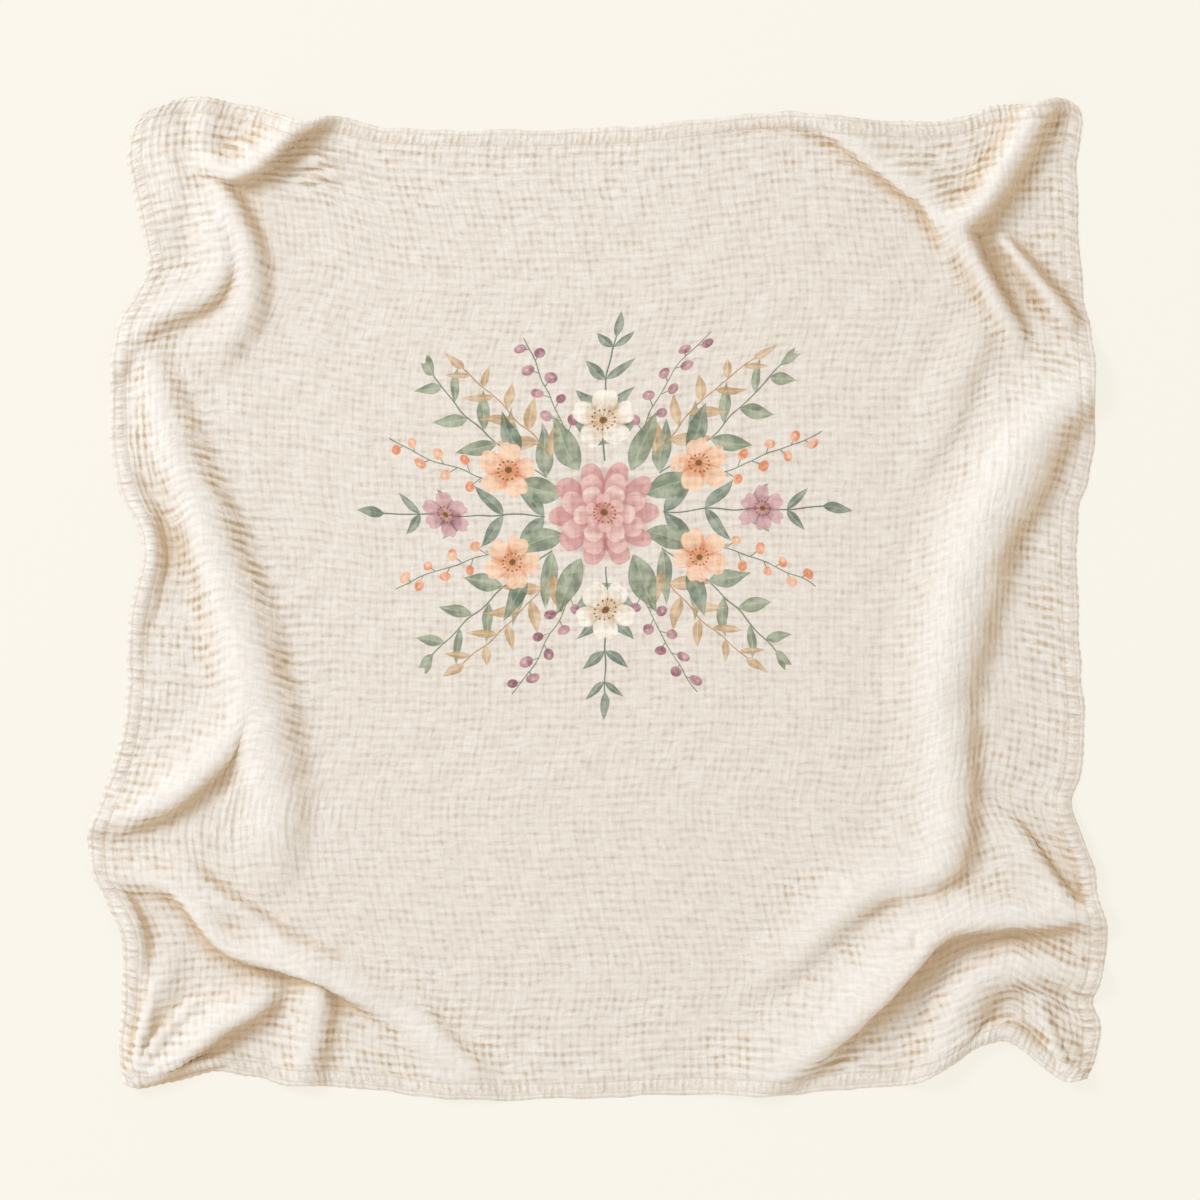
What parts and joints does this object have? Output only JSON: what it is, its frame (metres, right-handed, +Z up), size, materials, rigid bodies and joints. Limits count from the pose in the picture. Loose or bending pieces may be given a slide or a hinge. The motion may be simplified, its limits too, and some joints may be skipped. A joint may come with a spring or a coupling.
{
  "type": "swaddle blanket",
  "caption": "Square crinkled muslin swaddle blanket that lies flat, with soft folds gathered along its sides, a narrow hem and a floral print.",
  "frame": {"origin": "on the surface that the blanket lies on, under the centre of its bounding box", "axes": "+Z up from the surface, +X to the right of the print and +Y to the top of the print"},
  "size_m": [1.0211, 1.0024, 0.034],
  "materials": {
    "natural_muslin": "matt crinkled cotton double gauze"
  },
  "bodies": {
    "root": {"muslin_cloth": "natural_muslin"}
  },
  "joints": []
}
